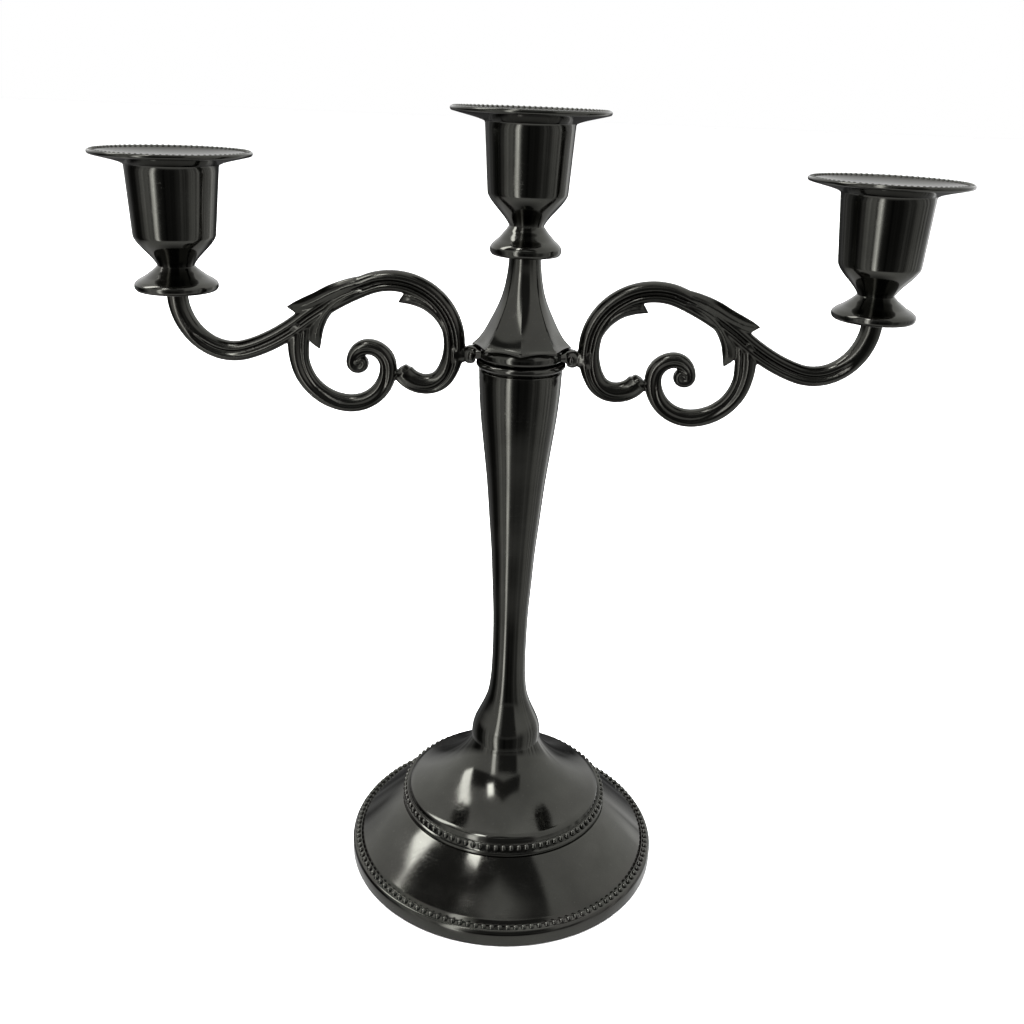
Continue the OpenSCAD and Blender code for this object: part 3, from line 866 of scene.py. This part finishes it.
def build_floor():
    """Pale floor, which the metal doesn't mirror: it sees the studio's drawn low band instead."""
    mesh = bpy.data.meshes.new("floor")
    bm = bmesh.new()
    corners = [bm.verts.new((x * FLOOR_REACH, y * FLOOR_REACH, 0)) for x, y in
               ((-1, -1), (1, -1), (1, 1), (-1, 1))]
    bm.faces.new(corners)
    bm.to_mesh(mesh)
    bm.free()
    floor = bpy.data.objects.new("floor", mesh)
    bpy.context.scene.collection.objects.link(floor)
    n = Nodes(bpy.data.materials.new("pale_floor"))
    n.shader.inputs["Base Color"].default_value = (FLOOR_GREY, FLOOR_GREY, FLOOR_GREY, 1)
    n.shader.inputs["Roughness"].default_value = 0.9
    n.shader.inputs["Specular IOR Level"].default_value = 0.1
    mesh.materials.append(n.owner)
    floor.visible_glossy = False


CEILING_Z = 2.4
CEILING_SIZE = 4.0
CEILING_WATTS = 300


def build_ceiling():
    """A large soft lamp overhead that lights the floor and isn't mirrored in the metal."""
    data = bpy.data.lights.new("ceiling", "AREA")
    data.size = CEILING_SIZE
    data.energy = CEILING_WATTS
    light = bpy.data.objects.new("ceiling", data)
    bpy.context.scene.collection.objects.link(light)
    light.location = (0, 0, CEILING_Z)
    light.visible_glossy = False


# Brightness around the studio by heading in degrees: 0 is the camera's side, minus is to its left
AROUND = [
    (-180, 0.06), (-160, 0.07), (-148, 0.20), (-130, 0.32), (-116, 0.18), (-104, 0.05), (-84, 0.03),
    (-72, 0.30), (-64, 0.75), (-46, 0.80), (-39, 0.25), (-34, 4.4), (-28, 4.9), (-23, 0.35),
    (-16, 0.10), (-4, 0.04), (18, 0.06), (30, 0.10), (38, 0.30), (45, 0.16), (56, 0.22), (66, 0.60),
    (92, 0.65), (116, 0.60), (128, 0.7), (136, 1.6), (145, 1.0), (153, 0.18), (166, 0.07), (180, 0.06)]
BRIGHTEST = 5.0
# Glow of the table top, and the sky's brightness in front and behind
TABLE_GLOW, SKY_FRONT, SKY_BACK = 0.75, 0.78, 1.25
# Dark cards: (middle heading, height), (half width, half height), edge softness. The first one's
# height falls off to the sides by ARCH times the heading.
ARCH = 0.28
ARCHED_CARD = ((-18.0, 65.0), (62.0, 7.5), 4.0)
FRONT_CARD = ((10.0, 23.0), (24.0, 18.0), 6.5)
CARD_SHADE = 0.14
# Bright windows, in the same form with their brightness
WINDOWS = [
    ((-37.0, 62.0), (7.0, 4.5), 2.0, 13.0), ((-93.0, 47.0), (6.5, 14.0), 3.0, 9.0),
    ((-30.0, 24.0), (3.5, 20.0), 3.0, 4.0)]


def studio_patch(n, heading, height, at, size, soft):
    """Soft-edged rectangle in the sky, 1 inside and 0 outside."""
    parts = []
    for value, middle, half in ((heading, at[0], size[0]), (height, at[1], size[1])):
        away = n.math("ABSOLUTE", n.math("SUBTRACT", value, middle))
        parts.append(n.ramp(away, half, half + soft, 1.0, 0.0))
    return n.math("MULTIPLY", parts[0], parts[1])


def build_light():
    """A studio drawn by direction: narrow strips low down, and a pale sky with dark cards and windows.

    The camera itself sees plain white.
    """
    n = Nodes(bpy.data.worlds.new("studio"))
    bpy.context.scene.world = n.owner
    ray = n.add("ShaderNodeSeparateXYZ", {"Vector": n.add("ShaderNodeTexCoord").outputs["Generated"]})
    x, y, z = ray.outputs
    degrees = 180 / math.pi
    heading = n.math("MULTIPLY", n.math("ARCTAN2", x, n.math("MULTIPLY", y, -1.0)), degrees)
    height = n.math("MULTIPLY", n.math("ARCSINE", z), degrees)
    around = n.add("ShaderNodeValToRGB", {"Fac": n.ramp(heading, -180.0, 180.0)})
    stops = around.color_ramp.elements
    for i, (turn, value) in enumerate(AROUND):
        place = (turn + 180) / 360
        stop = stops[i] if i < 2 else stops.new(place)
        stop.position = place
        grey = value / BRIGHTEST
        stop.color = (grey, grey, grey, 1)
    low = n.math("MULTIPLY", around.outputs["Color"], BRIGHTEST)
    streaks = n.add("ShaderNodeTexNoise", {"W": heading, "Scale": 0.16, "Detail": 2.0},
                    noise_dimensions="1D")
    low = n.math("MULTIPLY", low, n.ramp(streaks.outputs["Fac"], 0.3, 0.7, 0.45, 1.5))
    table = n.ramp(height, -42.0, -30.0, 1.0, 0.0)
    low = n.add("ShaderNodeMix", {0: table, 2: low, 3: TABLE_GLOW}, data_type="FLOAT").outputs[0]
    sideways = n.math("ABSOLUTE", heading)
    sky = n.ramp(sideways, 70.0, 130.0, SKY_FRONT, SKY_BACK)
    arched = n.math("ADD", height, n.math("MULTIPLY", sideways, ARCH))
    for level, place in ((arched, ARCHED_CARD), (height, FRONT_CARD)):
        card = studio_patch(n, heading, level, *place)
        sky = n.math("MULTIPLY", sky, n.ramp(card, 0.0, 1.0, 1.0, CARD_SHADE))
    rise = n.ramp(height, -4.0, 10.0)
    total = n.add("ShaderNodeMix", {0: rise, 2: low, 3: sky}, data_type="FLOAT").outputs[0]
    total = n.math("MULTIPLY", total, n.ramp(height, -80.0, -58.0, 0.25, 1.0))
    for at, size, soft, power in WINDOWS:
        patch = studio_patch(n, heading, height, at, size, soft)
        total = n.math("ADD", total, n.math("MULTIPLY", patch, power))
    seen = n.add("ShaderNodeLightPath").outputs["Is Camera Ray"]
    strength = n.add("ShaderNodeMix", {0: seen, 2: total, 3: 1.0}, data_type="FLOAT").outputs[0]
    background = n.tree.nodes["Background"]
    background.inputs["Color"].default_value = (1, 1, 1, 1)
    n.tree.links.new(strength, background.inputs["Strength"])


CAMERA_PLACE = (0.004874, -0.36237, 0.27647)
CAMERA_YAW, CAMERA_PITCH, CAMERA_ROLL = -0.852, 16.076, 2.332
CAMERA_LENS, CAMERA_SENSOR = 39.1, 36
CAMERA_SHIFT = (-0.0055, -0.1036)


def build_camera():
    """Camera at the photograph's angle: a little above the cups, aimed down, slightly rolled."""
    yaw, pitch, roll = (math.radians(a) for a in (CAMERA_YAW, CAMERA_PITCH, CAMERA_ROLL))
    forward = Vector((math.sin(yaw) * math.cos(pitch), math.cos(yaw) * math.cos(pitch), -math.sin(pitch)))
    level = Vector((math.cos(yaw), -math.sin(yaw), 0))
    up = level.cross(forward)
    right = level * math.cos(roll) + up * math.sin(roll)
    upright = up * math.cos(roll) - level * math.sin(roll)
    data = bpy.data.cameras.new("camera")
    data.lens = CAMERA_LENS
    data.sensor_width = CAMERA_SENSOR
    data.shift_x, data.shift_y = CAMERA_SHIFT
    data.clip_start = 0.01
    camera = bpy.data.objects.new("camera", data)
    bpy.context.scene.collection.objects.link(camera)
    turn = Matrix((right, upright, -forward)).transposed().to_4x4()
    camera.matrix_world = Matrix.Translation(CAMERA_PLACE) @ turn
    bpy.context.scene.camera = camera


build_floor()
build_light()
build_ceiling()
build_camera()
bpy.context.scene.view_settings.view_transform = "Standard"
